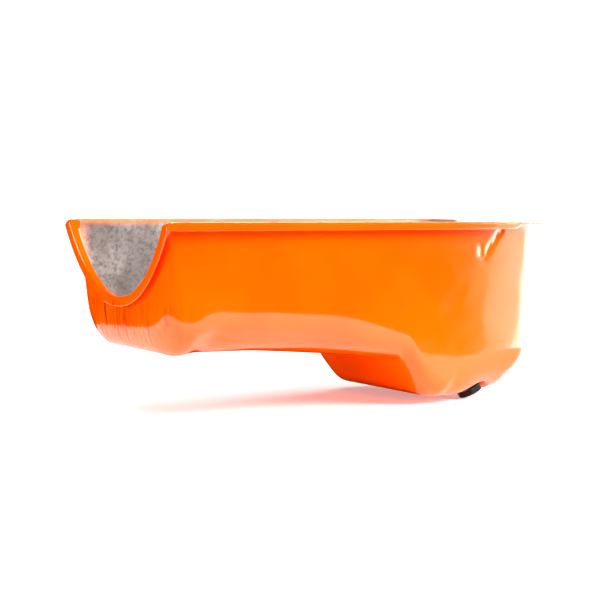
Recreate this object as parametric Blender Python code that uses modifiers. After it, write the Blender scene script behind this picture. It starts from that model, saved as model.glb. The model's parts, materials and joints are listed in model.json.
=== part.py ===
"""Stamped steel engine oil pan with its drain plug.

Axes: +X runs from the front half-moon to the rear, -Y is the drain plug side, +Z points up out of the pan.
All shape sizes are in millimetres and are turned into metres when the meshes are made.
"""

import math

import bmesh
import bpy
import numpy as np
from mathutils import Matrix, Vector

MM = 0.001

# Whole pan
LENGTH = 523.0
HALF_WIDTH = 121.5
SHEET = 1.4
REST_HEIGHT = 215.4
CENTRE_X = LENGTH / 2

# Walls, measured on the inside of the sheet
WALL_HALF = 107.0
REAR_WALL_X = 516.0
FRONT_WALL_X = 10.0
DRAFT = 0.032
ROUND_POWER = 2.2
CORNER_POWER = 0.68

# Floor line along the middle: position along the pan, depth under the rail, bend length
FLOOR_LINE = ((44.0, 140.0, 0.0), (125.0, 139.0, 40.0), (325.0, 156.0, 8.0), (362.0, 205.0, 14.0),
              (REAR_WALL_X, 205.0, 0.0))

# Stretch of the side walls with the large round at the foot: where it starts, is full, fades and ends
TUCK = (34.0, 80.0, 200.0, 360.0)

# Mesh lines: along the pan, down the walls, across the floor and round the front
STATION_STEP = 23.0
SEAT_STEP = 9.0
REAR_STATIONS = (50.0, 36.0, 24.0, 14.0, 6.0)
WALL_ROWS = (0.0, 0.12, 0.28, 0.44, 0.58, 0.70, 0.80, 0.90, 1.0)
FLOOR_COLUMNS = (12.0, 23.0, 32.0, 38.5, 42.0, 52.0, 64.0, 76.0, 87.0, 98.0)
FRONT_ANGLES = (0.0, 14.0, 30.0, 46.0, 62.0, 77.0)

# Rounds between walls and floor: plain size, and what the front, the tucked sides, the sump and the rear add
CORNER_WIDTH = 16.0
FOOT_WIDTH = 22.0
FRONT_WIDER = 18.0
TUCK_WIDER = 32.0
REAR_WIDER = 34.0
FOOT_HEIGHT = 24.0
FRONT_TALLER = 16.0
TUCK_TALLER = 36.0
SUMP_TALLER = 22.0
REAR_TALLER = 12.0
REAR_LENGTH = 18.0
REAR_LONGER = 18.0

# Front half-moon for the timing cover
SADDLE_HALF = 111.0
SADDLE_DEPTH = 80.5
SADDLE_LEAN = 4.0
SADDLE_LIP = 10.5

# Rear half-round for the main bearing cap
NOTCH_HALF = 42.0
NOTCH_DEPTH = 40.0
NOTCH_LIP = 5.0

# Rail lip turned down along both sides
LIP_DROP = 8.0
LIP_END_X = 474.0
REAR_LIP_DROP = 2.5

# Drain plug seat on the lower rear corner
PLUG_AXIS = (0.36, -0.22, -0.907)
PLUG_SPOT = (446.0, -68.0)
SEAT_INSET = 8.7
SEAT_RADIUS = 26.0
SEAT_BLEND = 9.0
DRAIN_HOLE = 7.6

# Drain plug, gasket and welded nut
HEX_FLATS = 28.6
HEAD_HEIGHT = 9.5
FLANGE_RADIUS = 17.2
SHANK_RADIUS = 6.35
SHANK_LENGTH = 15.0
GASKET_OUTER = 15.8
GASKET_THICK = 2.0
NUT_RADIUS = 14.0
NUT_THICK = 9.0
GAP = 0.3

# Rail bolt holes: distance of the row from the middle, positions along the pan, hole radii
HOLE_LINE = 114.6
FIRST_HOLE = 66.0
HOLE_PITCH = 61.8
SIDE_HOLE_COUNT = 7
CORNER_HOLES = (25.0, 497.0)
SMALL_HOLE = 3.6
LARGE_HOLE = 4.4

# Baffle plate that carries the shallow floor on over the sump
BAFFLE_X = (300.0, 420.0)
BAFFLE_HALF = 66.0
BAFFLE_SHEET = 1.5
BAFFLE_EDGE = 11.0
BAFFLE_CORNER = 14.0
BAFFLE_HOLES = 5
BAFFLE_HOLE = 6.0
BAFFLE_HOLE_X = 352.0


def smooth(value, low, high):
    """Goes from 0 at low to 1 at high without a kink."""
    t = np.clip((np.asarray(value, float) - low) / (high - low), 0.0, 1.0)
    return t * t * (3.0 - 2.0 * t)


def bump(value, low, rise, fall, high):
    """Is 1 between rise and fall and 0 outside low and high."""
    return smooth(value, low, rise) * (1.0 - smooth(value, fall, high))


def rounded_path(points, bends, steps):
    """Replaces each inner corner of a polyline by a smooth bend of steps + 1 points."""
    out = [np.asarray(points[0], float)]
    for i in range(1, len(points) - 1):
        corner = np.asarray(points[i], float)
        before = np.asarray(points[i - 1], float) - corner
        after = np.asarray(points[i + 1], float) - corner
        reach = min(bends[i], 0.48 * np.linalg.norm(before), 0.48 * np.linalg.norm(after))
        start = corner + before * reach / max(np.linalg.norm(before), 1e-9)
        end = corner + after * reach / max(np.linalg.norm(after), 1e-9)
        for t in np.linspace(0.0, 1.0, steps + 1):
            out.append((1 - t) ** 2 * start + 2 * t * (1 - t) * corner + t * t * end)
    out.append(np.asarray(points[-1], float))
    return np.array(out)


def floor_stations():
    """Positions along the pan with the floor depth at each."""
    path = rounded_path([p[:2] for p in FLOOR_LINE], [p[2] for p in FLOOR_LINE], 4)
    along = [path[0]]
    for start, end in zip(path[:-1], path[1:]):
        count = max(1, int(round((end[0] - start[0]) / STATION_STEP)))
        for k in range(1, count + 1):
            along.append(start + (end - start) * k / count)
    stations = np.array(along)
    last = REAR_WALL_X - np.array(REAR_STATIONS)
    fine = np.arange(PLUG_SPOT[0] - 3 * SEAT_STEP, PLUG_SPOT[0] + 20.0, SEAT_STEP)
    rows = [row for row in stations if row[0] < fine[0] - 4.0]
    rows += [np.array([x, FLOOR_LINE[-1][1]]) for x in np.concatenate([fine, last])]
    rows.append(stations[-1])
    return np.array(rows)


def edge_width(x, height):
    """Sideways size of the round between wall and floor, or between side wall and rear wall."""
    tuck = bump(x, *TUCK)
    rear = smooth(x, 400.0, 480.0)
    front = 1.0 - smooth(x, 50.0, 110.0)
    low = FOOT_WIDTH + FRONT_WIDER * front + TUCK_WIDER * tuck + REAR_WIDER * rear
    return CORNER_WIDTH + (low - CORNER_WIDTH) * smooth(height, 0.66, 0.98)


def edge_height(x):
    """Upright size of the round between wall and floor."""
    tuck = bump(x, *TUCK)
    sump = smooth(x, 370.0, 392.0)
    rear = smooth(x, 400.0, 490.0)
    front = 1.0 - smooth(x, 50.0, 110.0)
    added = FRONT_TALLER * front + TUCK_TALLER * tuck + SUMP_TALLER * sump + REAR_TALLER * rear
    return FOOT_HEIGHT + added


def rear_length(height):
    """Lengthwise size of the round between floor or side wall and rear wall."""
    return REAR_LENGTH + REAR_LONGER * smooth(height, 0.74, 0.99)


def pressed(x, y, z, depth):
    """Moves a point of the plain box onto the rounded and drafted pressing."""
    height = -z / depth
    wide = edge_width(x, height)
    tall = edge_height(x)
    long = rear_length(height)
    core_x = min(x, REAR_WALL_X - long)
    core_y = np.clip(y, -(WALL_HALF - wide), WALL_HALF - wide)
    core_z = max(z, -(depth - tall))
    part = np.array([(x - core_x) / long, (y - core_y) / wide, (z - core_z) / tall])
    size = np.sum(np.abs(part) ** ROUND_POWER) ** (1 / ROUND_POWER)
    if size > 1e-6:
        part = part * np.max(np.abs(part)) / size
    new_x = core_x + part[0] * long
    new_y = core_y + part[1] * wide
    new_z = core_z + part[2] * tall
    new_y = new_y * (1.0 + DRAFT * new_z / WALL_HALF)
    new_x = new_x + DRAFT * new_z * smooth(new_x, 400.0, 500.0)
    swing = 16.0 * max(0.0, (abs(new_y) - 70.0) / 37.0) ** 2 * bump(x, 340.0, 372.0, 390.0, 450.0)
    return np.array([new_x + swing * smooth(-new_z, 120.0, 160.0), new_y, new_z])


def floor_columns():
    """Positions across the floor as shares of its half width, from the plug side to the far side."""
    side = np.array(FLOOR_COLUMNS) / WALL_HALF
    return np.concatenate([[-1.0], -side[::-1], [0.0], side, [1.0]])


def section(x, depth):
    """One section across the pan, from the plug-side rail down, across and up to the far rail."""
    columns = floor_columns()
    near = [pressed(x, -WALL_HALF, -r * depth, depth) for r in WALL_ROWS]
    flat = [pressed(x, c * WALL_HALF, -depth, depth) for c in columns[1:-1]]
    far = [pressed(x, WALL_HALF, -r * depth, depth) for r in WALL_ROWS[::-1]]
    return np.array(near + flat + far)


def saddle_curve(fractions):
    """Front half-moon line: sideways and upright position at each fraction of its length."""
    depth = np.linspace(0.0, 1.0, 400)
    half = SADDLE_HALF * np.maximum(1.0 - depth ** 1.1, 0.0) ** 0.46
    one = np.stack([-half, -SADDLE_DEPTH * depth], 1)
    line = np.concatenate([one, (one * [-1.0, 1.0])[-2::-1]])
    length = np.concatenate([[0.0], np.cumsum(np.linalg.norm(np.diff(line, axis=0), axis=1))])
    at = np.asarray(fractions) * length[-1]
    return np.stack([np.interp(at, length, line[:, 0]), np.interp(at, length, line[:, 1])], 1)


def front_sections(first):
    """Sections that blend the half-moon into the first full section."""
    length = np.concatenate([[0.0], np.cumsum(np.linalg.norm(np.diff(first, axis=0), axis=1))])
    curve = saddle_curve(length / length[-1])
    lean = SADDLE_LEAN * -curve[:, 1] / SADDLE_DEPTH
    out = []
    for angle in np.radians(FRONT_ANGLES):
        forward = 1.0 - math.cos(angle) ** CORNER_POWER
        spread = math.sin(angle) ** CORNER_POWER
        start_x = FRONT_WALL_X + lean
        x = start_x + (first[:, 0] - start_x) * forward
        y = curve[:, 0] + (first[:, 1] - curve[:, 0]) * spread
        z = curve[:, 1] + (first[:, 2] - curve[:, 1]) * spread
        out.append(np.stack([x, y, z], 1))
    return out


def notch_drop(y):
    """Depth of the rear half-round at a distance from the middle."""
    inside = np.clip(1.0 - (y / NOTCH_HALF) ** 2, 0.0, 1.0)
    return NOTCH_DEPTH * math.sqrt(inside)


def rear_wall():
    """Rows of points on the rear wall, from the rail down, one column for each floor column."""
    depth = FLOOR_LINE[-1][1]
    grid = []
    for row in WALL_ROWS:
        line = []
        for column in floor_columns():
            y = column * WALL_HALF
            drop = notch_drop(y)
            z = -drop - (depth - drop) * row
            line.append(pressed(REAR_WALL_X, y, z, depth))
        grid.append(np.array(line))
    return grid


def rail_edge(station_x, side):
    """Outer rail point for a station on a side rail."""
    x = station_x + (LENGTH - REAR_WALL_X) * smooth(station_x, 430.0, REAR_WALL_X)
    corner = 10.0
    part = max(0.0, (x - (LENGTH - corner)) / corner)
    y = HALF_WIDTH - corner + corner * math.sqrt(max(0.0, 1.0 - part ** 2 * 0.5))
    x = LENGTH - corner + corner * part * 0.92 if part > 0 else x
    return np.array([x, side * y, 0.0])


def lip_height(x):
    return REAR_LIP_DROP + (LIP_DROP - REAR_LIP_DROP) * (1.0 - smooth(x, LIP_END_X - 1.0, LIP_END_X + 3.0))


def seat_frame(grid_points):
    """Centre of the plug seat and its outward direction."""
    axis = np.array(PLUG_AXIS) / np.linalg.norm(PLUG_AXIS)
    flat = grid_points.reshape(-1, 3)
    near = flat[flat[:, 2] < -120.0]
    distance = np.linalg.norm(near[:, :2] - np.array(PLUG_SPOT), axis=1)
    closest = near[np.argsort(distance)[:4]]
    top = max(float(np.dot(p, axis)) for p in closest)
    spot = np.array([PLUG_SPOT[0], PLUG_SPOT[1], float(np.mean(closest[:, 2]))])
    centre = spot + axis * (top - np.dot(spot, axis) - SEAT_INSET)
    return centre, axis


def press_seat(point, centre, axis):
    """Flattens the sheet round the plug."""
    offset = point - centre
    along = float(np.dot(offset, axis))
    radius = float(np.linalg.norm(offset - along * axis))
    if abs(along) > 40.0:
        return point
    weight = 1.0 - smooth(radius, SEAT_RADIUS, SEAT_RADIUS + SEAT_BLEND)
    return point - axis * along * weight


def shell_sheet():
    """Inside face of the pressing as vertices and faces, with the plug seat frame."""
    stations = floor_stations()
    main = [section(x, depth) for x, depth in stations]
    fronts = front_sections(main[0])
    grid = np.array(fronts + main)
    centre, axis = seat_frame(grid)
    vertices = []
    faces = []

    def add(point):
        vertices.append(press_seat(np.asarray(point, float), centre, axis))
        return len(vertices) - 1

    index = [[add(p) for p in line] for line in grid]
    for a, b in zip(index[:-1], index[1:]):
        for j in range(len(a) - 1):
            faces.append((a[j], b[j], b[j + 1], a[j + 1]))

    rows = len(WALL_ROWS)
    cap = rear_wall()
    last = index[-1]
    cap_index = []
    for r in range(rows):
        line = []
        for c in range(len(floor_columns())):
            if c == 0:
                line.append(last[r])
            elif c == len(floor_columns()) - 1:
                line.append(last[-1 - r])
            elif r == rows - 1:
                line.append(last[rows - 1 + c])
            else:
                line.append(add(cap[r][c]))
        cap_index.append(line)
    for r in range(rows - 1):
        for c in range(len(floor_columns()) - 1):
            top = cap_index[r]
            low = cap_index[r + 1]
            faces.append((low[c], top[c], top[c + 1], low[c + 1]))

    rim = rim_loop(index, cap_index, vertices, len(fronts), stations)
    rings = []
    for inner, edge, hem in rim:
        rings.append((inner, add(edge), add(hem)))
    for a, b in zip(rings, rings[1:] + rings[:1]):
        if a[0] != b[0]:
            faces.append((a[0], a[1], b[1], b[0]))
        else:
            faces.append((a[0], a[1], b[1]))
        faces.append((a[1], a[2], b[2], b[1]))
    return vertices, faces, centre, axis


def rim_loop(index, cap_index, vertices, front_count, stations):
    """Rim points in order: the wall edge vertex, the outer flange point and the lip end."""
    loop = []
    near_x = [vertices[line[0]][0] for line in index]
    sides = []
    for side, pick in ((-1.0, 0), (1.0, -1)):
        line = []
        for i, row in enumerate(index[:-1]):
            x = near_x[i] if i < front_count else stations[i - front_count][0]
            edge = rail_edge(x, side)
            hem = edge + np.array([0.0, 0.0, -lip_height(edge[0])])
            line.append((row[pick], edge, hem))
        sides.append(line)
    loop += sides[0]
    columns = floor_columns()
    for c, column in enumerate(columns):
        vertex = cap_index[0][c]
        y = column * WALL_HALF
        if c in (0, len(columns) - 1):
            edge = rail_edge(REAR_WALL_X, math.copysign(1.0, column))
            hem = edge + np.array([0.0, 0.0, -REAR_LIP_DROP])
        else:
            stretch = (HALF_WIDTH - 10.0) / WALL_HALF
            out_y = y if abs(y) <= NOTCH_HALF else y * (1 + (stretch - 1) * smooth(abs(y), NOTCH_HALF, 98.0))
            edge = np.array([LENGTH, out_y, vertices[vertex][2]])
            if abs(y) < NOTCH_HALF + 0.1:
                angle = max(math.acos(min(abs(y) / NOTCH_HALF, 1.0)), math.pi / 4)
                outward = np.array([0.0, math.copysign(math.cos(angle), y), -math.sin(angle)])
                hem = edge + NOTCH_LIP * outward
            else:
                hem = edge + np.array([0.0, 0.0, -REAR_LIP_DROP])
        loop.append((vertex, edge, hem))
    loop += sides[1][::-1]
    front = index[0]
    points = np.array([vertices[v] for v in front])
    tangent = np.gradient(points[:, 1:], axis=0)
    normal = np.stack([tangent[:, 1], -tangent[:, 0]], 1)
    normal /= np.linalg.norm(normal, axis=1)[:, None]
    seat = []
    for k, vertex in enumerate(front):
        here = points[k]
        edge = np.array([here[0] - FRONT_WALL_X, here[1], here[2]])
        outward = np.array([0.0, normal[k, 0], normal[k, 1]])
        seat.append((vertex, edge, edge + SADDLE_LIP * outward))
    corner_edge = np.array([2.0, HALF_WIDTH - 2.5, 0.0])
    corner_hem = np.array([0.5, HALF_WIDTH - 0.8, -LIP_DROP])
    corner_far = (front[-1], corner_edge, corner_hem)
    corner_near = (front[0], corner_edge * [1, -1, 1], corner_hem * [1, -1, 1])
    loop.append(corner_far)
    loop += seat[::-1]
    loop.append(corner_near)
    return loop


def place(point):
    """Millimetres in the rail frame to metres in the object frame."""
    return Vector(((point[0] - CENTRE_X) * MM, point[1] * MM, (point[2] + REST_HEIGHT) * MM))


def material(name, colour, metallic, roughness):
    made = bpy.data.materials.new(name)
    made.use_nodes = True
    shader = made.node_tree.nodes["Principled BSDF"]
    shader.inputs["Base Color"].default_value = (*colour, 1.0)
    shader.inputs["Metallic"].default_value = metallic
    shader.inputs["Roughness"].default_value = roughness
    return made


def mesh_object(name, mesh, collection, paint):
    made = bpy.data.objects.new(name, mesh)
    collection.objects.link(made)
    if paint is not None:
        mesh.materials.append(paint)
    return made


def turned(name, profile, collection, paint, steps=32):
    """Turns a closed profile of radius and height pairs about the local Z axis."""
    work = bmesh.new()
    ring = [work.verts.new((r * MM, 0.0, z * MM)) for r, z in profile]
    for a, b in zip(ring, ring[1:] + ring[:1]):
        work.edges.new((a, b))
    mesh = bpy.data.meshes.new(name)
    work.to_mesh(mesh)
    work.free()
    made = mesh_object(name, mesh, collection, paint)
    spin = made.modifiers.new("Turn", "SCREW")
    spin.axis = "Z"
    spin.angle = 2 * math.pi
    spin.steps = steps
    spin.render_steps = steps
    spin.use_merge_vertices = True
    spin.merge_threshold = 1e-5
    return made


def cylinder(name, radius, low, high, collection, sides=24):
    """A plain cylinder or prism about the local Z axis, kept as a cutter."""
    work = bmesh.new()
    bmesh.ops.create_cone(work, cap_ends=True, segments=sides, radius1=radius * MM, radius2=radius * MM,
                          depth=(high - low) * MM)
    bmesh.ops.translate(work, verts=work.verts, vec=(0, 0, (low + high) / 2 * MM))
    mesh = bpy.data.meshes.new(name)
    work.to_mesh(mesh)
    work.free()
    made = mesh_object(name, mesh, collection, None)
    hide(made)
    return made


def hide(tool):
    tool.hide_render = True
    tool.display_type = "WIRE"


def combine(target, cutter, operation="DIFFERENCE"):
    step = target.modifiers.new(operation.title() + " " + cutter.name, "BOOLEAN")
    step.operation = operation
    step.solver = "EXACT"
    step.object = cutter


def shaded(name, work, collection, paint):
    """Turns a bmesh into a smooth-shaded object with a material."""
    mesh = bpy.data.meshes.new(name)
    work.to_mesh(mesh)
    work.free()
    for polygon in mesh.polygons:
        polygon.use_smooth = True
    return mesh_object(name, mesh, collection, paint)


def add_sheet(target, thickness):
    """Gives an open surface its thickness on the outward side."""
    skin = target.modifiers.new("Sheet", "SOLIDIFY")
    skin.thickness = thickness * MM
    skin.offset = 1.0
    skin.use_even_offset = True
    skin.use_rim = True


def make_pan_body(parts, tools, paint):
    """The pressing with its holes; returns the frame of the plug seat on its outer face."""
    vertices, faces, centre, axis = shell_sheet()
    work = bmesh.new()
    made = [work.verts.new(place(p)) for p in vertices]
    for face in faces:
        work.faces.new([made[i] for i in face])
    bmesh.ops.remove_doubles(work, verts=work.verts, dist=2e-5)
    bmesh.ops.recalc_face_normals(work, faces=work.faces)
    lowest = min(work.faces, key=lambda f: f.calc_center_median().z)
    if lowest.normal.z > 0:
        bmesh.ops.reverse_faces(work, faces=work.faces)
    body = shaded("pan_body", work, parts, paint)
    add_sheet(body, SHEET)

    row = [(FIRST_HOLE + HOLE_PITCH * k, SMALL_HOLE) for k in range(SIDE_HOLE_COUNT)]
    row += [(x, LARGE_HOLE) for x in CORNER_HOLES]
    for side in (-1.0, 1.0):
        for x, radius in row:
            tool = cylinder("rail_hole_tool", radius, -14.0, 14.0, tools, 16)
            tool.location = place((x, side * HOLE_LINE, 0.0))
            combine(body, tool)

    turn = Vector(axis).to_track_quat("Z", "Y").to_matrix().to_4x4()
    seat = Matrix.Translation(place(centre + axis * SHEET)) @ turn
    drill = cylinder("drain_hole_tool", DRAIN_HOLE, -20.0, 20.0, tools, 32)
    drill.matrix_world = seat
    combine(body, drill)
    return seat


def make_drain_boss(parts, seat, paint):
    """The nut welded inside the pan for the drain plug."""
    top = -SHEET - GAP
    foot = top - NUT_THICK
    bore = SHANK_RADIUS + GAP
    profile = [(bore, top), (NUT_RADIUS, top), (NUT_RADIUS, foot + 2.0), (NUT_RADIUS - 2.0, foot),
               (bore, foot)]
    nut = turned("drain_boss", profile, parts, paint)
    nut.matrix_world = seat


def make_plug_gasket(parts, seat, paint):
    """The flat ring between the plug's flange and the pan."""
    hole = SHANK_RADIUS + 0.5
    top = GAP + GASKET_THICK
    profile = [(hole, top), (GASKET_OUTER, top), (GASKET_OUTER, GAP), (hole, GAP)]
    gasket = turned("plug_gasket", profile, parts, paint)
    gasket.matrix_world = seat


def make_drain_plug(parts, tools, seat, paint):
    """The hex plug: a prism cut to a chamfered crown, joined to its flange and shank."""
    base = GASKET_THICK + 2 * GAP
    top = base + HEAD_HEIGHT
    corner = HEX_FLATS / math.sqrt(3)
    plug = cylinder("drain_plug", corner, base + 1.2, top, parts, 6)
    plug.hide_render = False
    plug.display_type = "TEXTURED"
    plug.data.materials.append(paint)
    plug.matrix_world = seat
    wide = corner + 0.6
    crown_profile = [(0.0, top + 1.0), (HEX_FLATS / 2 - 2.0, top + 1.0), (wide, top - 2.0),
                     (wide, base + 0.5), (0.0, base + 0.5)]
    crown = turned("plug_crown_tool", crown_profile, tools, None, 48)
    foot = base - SHANK_LENGTH
    stem_profile = [(0.0, base + 1.6), (FLANGE_RADIUS - 1.0, base + 1.6), (FLANGE_RADIUS, base + 1.2),
                    (FLANGE_RADIUS, base), (SHANK_RADIUS, base), (SHANK_RADIUS, foot + 1.0),
                    (SHANK_RADIUS - 1.0, foot), (0.0, foot)]
    stem = turned("plug_stem_tool", stem_profile, tools, None, 32)
    for tool, operation in ((crown, "INTERSECT"), (stem, "UNION")):
        hide(tool)
        tool.matrix_world = seat
        combine(plug, tool, operation)


def make_slosh_baffle(parts, tools, paint):
    """The plate that carries the shallow floor on over the sump, with a turned-up rear edge."""
    rise = (FLOOR_LINE[2][1] - FLOOR_LINE[1][1]) / (FLOOR_LINE[2][0] - FLOOR_LINE[1][0])
    slope = math.atan(rise)
    length = (BAFFLE_X[1] - BAFFLE_X[0]) / math.cos(slope)
    chamfer = BAFFLE_HALF - BAFFLE_CORNER
    plan = [(0.0, -chamfer), (BAFFLE_CORNER, -BAFFLE_HALF), (length, -BAFFLE_HALF), (length, BAFFLE_HALF),
            (BAFFLE_CORNER, BAFFLE_HALF), (0.0, chamfer)]
    work = bmesh.new()
    plate = work.faces.new([work.verts.new((x * MM, y * MM, 0.0)) for x, y in plan])
    rear = [edge for edge in plate.edges if all(abs(v.co.x - length * MM) < 1e-6 for v in edge.verts)]
    lifted = bmesh.ops.extrude_edge_only(work, edges=rear)
    fresh = [item for item in lifted["geom"] if isinstance(item, bmesh.types.BMVert)]
    bmesh.ops.translate(work, verts=fresh, vec=(BAFFLE_EDGE * 0.5 * MM, 0.0, BAFFLE_EDGE * 0.87 * MM))
    bmesh.ops.recalc_face_normals(work, faces=work.faces)
    if plate.normal.z < 0:
        bmesh.ops.reverse_faces(work, faces=work.faces)
    mesh = bpy.data.meshes.new("slosh_baffle")
    work.to_mesh(mesh)
    work.free()
    baffle = mesh_object("slosh_baffle", mesh, parts, paint)
    depth = FLOOR_LINE[1][1] + rise * (BAFFLE_X[0] - FLOOR_LINE[1][0])
    tilt = Matrix.Rotation(slope, 4, "Y")
    baffle.matrix_world = Matrix.Translation(place((BAFFLE_X[0], 0.0, GAP - depth))) @ tilt
    add_sheet(baffle, BAFFLE_SHEET)
    spacing = 2 * BAFFLE_HALF / (BAFFLE_HOLES + 0.6)
    for k in range(BAFFLE_HOLES):
        y = (k - (BAFFLE_HOLES - 1) / 2) * spacing
        tool = cylinder("baffle_hole_tool", BAFFLE_HOLE, -12.0, 12.0, tools, 16)
        tool.location = place((BAFFLE_HOLE_X, y, -depth - rise * (BAFFLE_HOLE_X - BAFFLE_X[0])))
        combine(baffle, tool)


def main():
    for old in list(bpy.data.objects):
        bpy.data.objects.remove(old, do_unlink=True)
    parts = bpy.data.collections.new("Oil pan")
    tools = bpy.data.collections.new("Cutters")
    bpy.context.scene.collection.children.link(parts)
    bpy.context.scene.collection.children.link(tools)

    orange = material("Orange enamel", (0.85, 0.22, 0.01), 0.0, 0.25)
    steel = material("Bare steel", (0.55, 0.56, 0.58), 1.0, 0.4)
    black = material("Black oxide", (0.02, 0.02, 0.022), 0.6, 0.4)
    fibre = material("Gasket fibre", (0.03, 0.03, 0.03), 0.0, 0.7)

    seat = make_pan_body(parts, tools, orange)
    make_drain_boss(parts, seat, steel)
    make_plug_gasket(parts, seat, fibre)
    make_drain_plug(parts, tools, seat, black)
    make_slosh_baffle(parts, tools, steel)


main()
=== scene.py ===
"""Engine oil pan: finished surfaces, materials, floor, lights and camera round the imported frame.

Lengths are in millimetres in the rail frame: X from the front half-moon to the rear, Y across with
the drain plug on the negative side, Z from the rail face with the depths negative. `placed` turns
them into the frame's metres, which the floor and the lamps are given in.
"""

import json
import math

import bmesh
import bpy
import numpy as np
from mathutils import Matrix, Vector, noise


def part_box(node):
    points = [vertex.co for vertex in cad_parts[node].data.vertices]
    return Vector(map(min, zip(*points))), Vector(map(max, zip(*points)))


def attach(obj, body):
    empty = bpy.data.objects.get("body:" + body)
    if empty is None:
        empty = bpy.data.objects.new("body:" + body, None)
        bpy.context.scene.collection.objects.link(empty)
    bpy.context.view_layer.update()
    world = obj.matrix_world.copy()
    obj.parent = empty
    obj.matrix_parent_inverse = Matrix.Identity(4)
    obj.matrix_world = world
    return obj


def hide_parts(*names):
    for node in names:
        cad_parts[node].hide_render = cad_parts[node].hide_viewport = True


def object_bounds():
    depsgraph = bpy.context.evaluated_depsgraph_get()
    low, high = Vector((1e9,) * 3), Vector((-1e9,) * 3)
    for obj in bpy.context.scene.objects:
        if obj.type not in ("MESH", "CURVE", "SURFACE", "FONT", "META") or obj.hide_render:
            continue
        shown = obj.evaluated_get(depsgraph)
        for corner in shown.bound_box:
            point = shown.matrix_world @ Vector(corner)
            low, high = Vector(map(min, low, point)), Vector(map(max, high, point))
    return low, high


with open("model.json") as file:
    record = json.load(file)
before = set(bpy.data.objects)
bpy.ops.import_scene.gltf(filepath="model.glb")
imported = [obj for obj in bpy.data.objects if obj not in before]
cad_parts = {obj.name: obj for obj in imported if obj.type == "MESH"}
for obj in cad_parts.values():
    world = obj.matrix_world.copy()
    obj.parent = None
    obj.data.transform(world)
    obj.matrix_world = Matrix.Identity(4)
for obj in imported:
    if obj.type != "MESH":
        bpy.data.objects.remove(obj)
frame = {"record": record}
CAD_LOW, CAD_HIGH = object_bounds()

MM = 0.001
PAN_LOW, PAN_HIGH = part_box("pan_body")
PLUG_JOINT = next(j for j in frame["record"]["behaviour"]["joints"] if j["name"] == "plug_turn")
RAIL_Z = PAN_HIGH[2]
FRONT_X = PAN_LOW[0]

# Whole pan
LENGTH = 523.0
HALF_WIDTH = 121.5
SHEET = 1.4

# Walls, measured on the inside of the sheet
WALL_HALF = 107.0
REAR_WALL_X = 516.0
FRONT_WALL_X = 10.0
DRAFT = 0.032
ROUND_POWER = 2.2
CORNER_POWER = 0.68
TUCK = (34.0, 80.0, 200.0, 360.0)

# Floor line along the middle: position along the pan, depth under the rail, bend length
FLOOR_LINE = ((44.0, 140.0, 0.0), (125.0, 139.0, 40.0), (325.0, 156.0, 8.0), (362.0, 205.0, 14.0),
              (REAR_WALL_X, 205.0, 0.0))
FLOOR_DEPTH = FLOOR_LINE[-1][1]

# Rounds between walls and floor: plain size, and what the front, the tucked sides, the sump and the rear add
CORNER_WIDTH = 16.0
FOOT_WIDTH = 22.0
FRONT_WIDER = 18.0
TUCK_WIDER = 32.0
REAR_WIDER = 34.0
FOOT_HEIGHT = 24.0
FRONT_TALLER = 16.0
TUCK_TALLER = 36.0
SUMP_TALLER = 22.0
REAR_TALLER = 12.0
REAR_LENGTH = 18.0
REAR_LONGER = 18.0

# Where those rounds change along the pan
FRONT_SPAN = (50.0, 110.0)
SUMP_SPAN = (370.0, 392.0)
REAR_WIDE_SPAN = (400.0, 480.0)
REAR_TALL_SPAN = (400.0, 490.0)

# Front of the sump: how far its sides swing to the rear, and where across, along and down they do
SUMP_SWING = 16.0
SWING_FROM = 70.0
SWING_ALONG = (340.0, 372.0, 390.0, 450.0)
SWING_DOWN = (120.0, 160.0)

# Front half-moon
SADDLE_HALF = 111.0
SADDLE_DEPTH = 80.5
SADDLE_FALL = 1.1
SADDLE_ROUND = 0.46
SADDLE_LEAN = 4.0
SADDLE_LIP = 10.5

# Rear half-round
NOTCH_HALF = 42.0
NOTCH_DEPTH = 40.0
NOTCH_LIP = 5.0
NOTCH_SHOULDER = 9.0

# Rail lip and the bends of the rim
LIP_DROP = 8.0
LIP_END_X = 474.0
REAR_LIP_DROP = 2.5
RAIL_CORNER = 10.0
CORNER_REACH = 9.0
WALL_BEND = 4.0
LIP_BEND = 3.0

# Rail bolt holes
HOLE_LINE = 114.6
FIRST_HOLE = 66.0
HOLE_PITCH = 61.8
SIDE_HOLE_COUNT = 7
CORNER_HOLES = (25.0, 497.0)
SMALL_HOLE = 3.6
LARGE_HOLE = 4.4

# Crease in the side wall: its line as positions along and under the rail, its depth and half width
CREASE_LINE = ((459.0, -8.0), (434.0, -39.0), (424.0, -33.0))
CREASE_DEPTH = 0.8
CREASE_WIDTH = 2.0

# Draw wrinkles under the half-moon: where they fade down, across and along the pan, and their height
MARKS_DOWN = (78.0, 92.0, 118.0, 140.0)
MARKS_ACROSS = (48.0, 88.0)
MARKS_ALONG = (24.0, 44.0)
MARKS_HEIGHT = 0.30

# Painted shade of those wrinkles, as darker streaks in the enamel there: where they fade along the pan, at
# their foot and at their top
STREAK_ALONG = (20.0, 50.0)
STREAK_FOOT = (132.0, 108.0)
STREAK_TOP = (92.0, 80.0)

# Drain plug seat, plug, gasket and welded nut
SEAT_FLAT = 19.5
SEAT_WALL = 6.0
DRAIN_HOLE = 7.6
HEX_FLATS = 28.6
HEAD_HEIGHT = 9.5
FLANGE_RADIUS = 17.2
SHANK_RADIUS = 6.35
SHANK_LENGTH = 15.0
THREAD_PITCH = 1.27
GASKET_OUTER = 15.8
GASKET_THICK = 2.0
NUT_RADIUS = 14.0
NUT_THICK = 9.0
GAP = 0.3

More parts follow.
